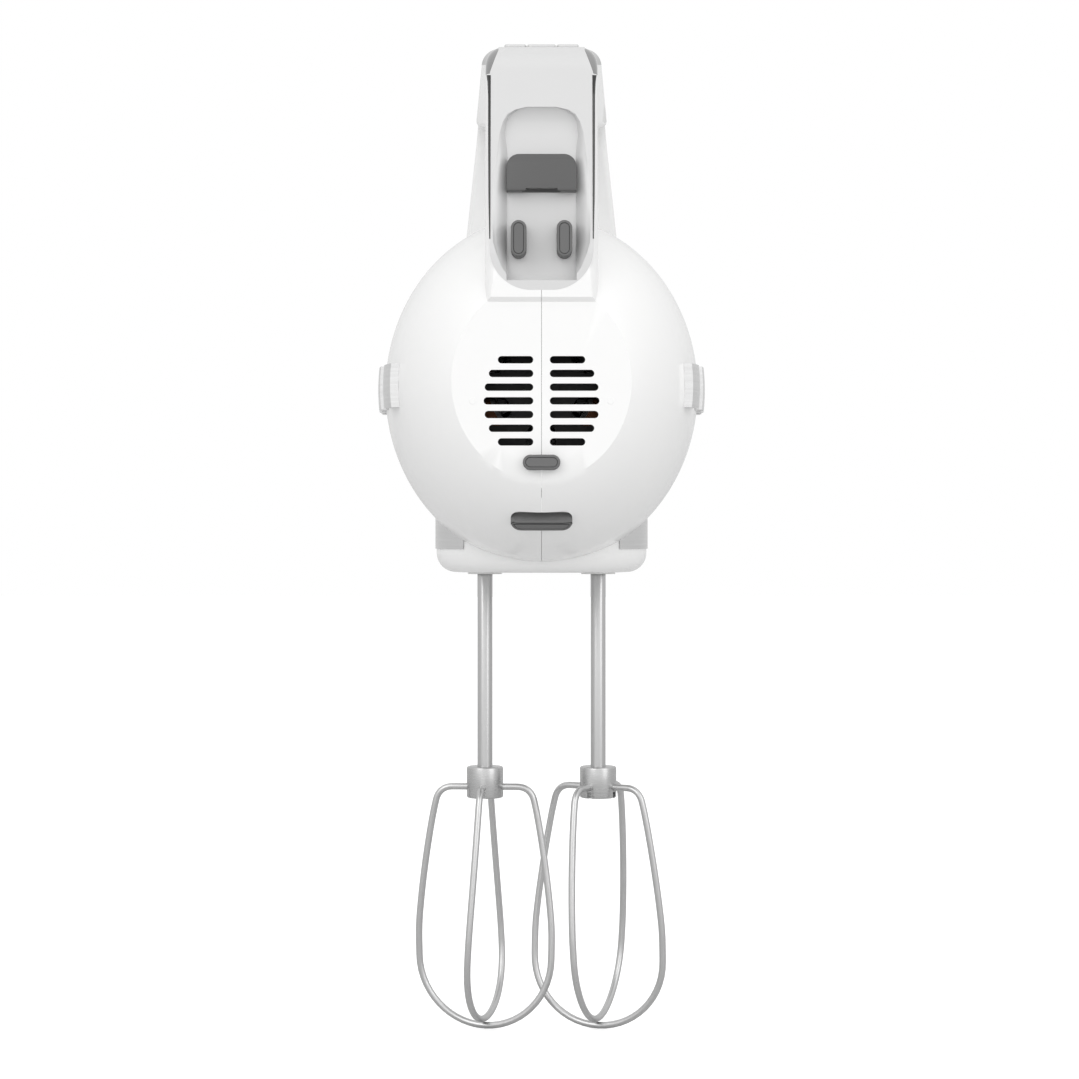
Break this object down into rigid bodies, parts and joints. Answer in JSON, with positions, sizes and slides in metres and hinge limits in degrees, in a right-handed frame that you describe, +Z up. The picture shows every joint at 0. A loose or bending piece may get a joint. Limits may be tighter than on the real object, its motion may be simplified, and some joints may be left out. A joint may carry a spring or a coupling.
{
  "type": "hand mixer",
  "caption": "Upright hand mixer with an egg-shaped body, a closed loop handle, thumb keys and twin wire beaters that turn in opposite senses.",
  "frame": {"origin": "middle of the grip bar of the handle", "axes": "+Z up with the beaters pointing down, +Y towards the nose, -Y towards the heel, +X to the right as seen from the heel"},
  "size_m": [0.1008, 0.2027, 0.3258],
  "materials": {
    "white": "gloss",
    "silver_plastic": "satin",
    "chrome": "polished",
    "dark_grey": "matt",
    "rubber": "matt",
    "steel": "satin",
    "window": "gloss",
    "lamination": "matt",
    "copper": "enamelled",
    "brass": "machined",
    "carbon": "matt",
    "nylon": "satin",
    "board": "satin"
  },
  "bodies": {
    "keypad_slower": {"key_slower": "silver_plastic"},
    "keypad_start": {"key_start": "silver_plastic"},
    "keypad_faster": {"key_faster": "silver_plastic"},
    "ejector": {"eject_button": "chrome", "eject_rod": "steel", "eject_fork": "nylon", "eject_pins": "steel"},
    "motor": {"motor_shaft": "steel", "worm": "steel", "armature_core": "lamination", "armature_windings": "copper", "commutator": "copper", "cooling_fan": "nylon"},
    "left_spindle": {"spindle_left": "steel", "drive_gear_left": "nylon"},
    "right_spindle": {"spindle_right": "steel", "drive_gear_right": "nylon"},
    "left_beater": {"beater_shaft_left": "steel", "beater_collar_left": "steel", "beater_loops_left": "steel"},
    "right_beater": {"beater_shaft_right": "steel", "beater_collar_right": "steel", "beater_loops_right": "steel"},
    "housing": {"body_shell_left": "white", "body_shell_right": "white", "base_block": "white", "rear_panel": "silver_plastic", "handle_top_cover": "silver_plastic", "display_window": "window", "display_module": "carbon", "trim_strip_left": "chrome", "trim_strip_right": "chrome", "base_trim_band": "chrome", "side_badge_left": "chrome", "side_badge_right": "chrome", "cord_gland": "dark_grey", "cord_clamp": "nylon", "terminal_block": "nylon", "handle_foot_left": "rubber", "handle_foot_right": "rubber", "heel_foot": "rubber", "lower_foot": "rubber", "control_board": "board", "key_switches": "carbon", "field_coils": "copper", "stator_core": "lamination", "brush_left": "carbon", "brush_right": "carbon", "brush_holder_left": "brass", "brush_holder_right": "brass", "rear_bearing": "brass", "middle_bearing": "brass", "front_bearing": "brass", "bearing_bracket": "nylon", "gearbox_lower": "nylon", "gearbox_upper": "nylon", "socket_plate_left": "nylon", "socket_plate_right": "nylon", "case_screws": "steel", "base_screws": "steel"}
  },
  "joints": [
    {"name": "left_beater_spin", "type": "hinge", "parent": "housing", "child": "left_spindle", "pos_m": [-0.0186, 0.022, -0.097], "axis": [0, 0, 1], "continuous": true},
    {"name": "right_beater_spin", "type": "hinge", "parent": "housing", "child": "right_spindle", "pos_m": [0.0186, 0.022, -0.097], "axis": [0, 0, 1], "continuous": true},
    {"name": "motor_spin", "type": "hinge", "parent": "housing", "child": "motor", "pos_m": [0, 0.022, -0.097], "axis": [0, 1, 0], "continuous": true},
    {"name": "eject_press", "type": "slide", "parent": "housing", "child": "ejector", "axis": [0, 0, -1], "range_m": [0, 0.008], "stiffness_N_per_m": 600, "springref_m": -0.004},
    {"name": "left_beater_release", "type": "slide", "parent": "left_spindle", "child": "left_beater", "axis": [0, 0, -1], "range_m": [0, 0.008]},
    {"name": "right_beater_release", "type": "slide", "parent": "right_spindle", "child": "right_beater", "axis": [0, 0, -1], "range_m": [0, 0.008]},
    {"name": "slower_press", "type": "slide", "parent": "housing", "child": "keypad_slower", "axis": [0, 0.1755, -0.9845], "range_m": [0, 0.0012], "stiffness_N_per_m": 400, "springref_m": -0.0005},
    {"name": "start_press", "type": "slide", "parent": "housing", "child": "keypad_start", "axis": [0, 0.1755, -0.9845], "range_m": [0, 0.0012], "stiffness_N_per_m": 400, "springref_m": -0.0005},
    {"name": "faster_press", "type": "slide", "parent": "housing", "child": "keypad_faster", "axis": [0, 0.1755, -0.9845], "range_m": [0, 0.0012], "stiffness_N_per_m": 400, "springref_m": -0.0005}
  ],
  "couplings": [
    {"joint": "right_beater_spin", "follows": "left_beater_spin", "ratio": -1},
    {"joint": "motor_spin", "follows": "left_beater_spin", "ratio": -15},
    {"joint": "left_beater_release", "follows": "eject_press", "ratio": 1},
    {"joint": "right_beater_release", "follows": "eject_press", "ratio": 1}
  ]
}
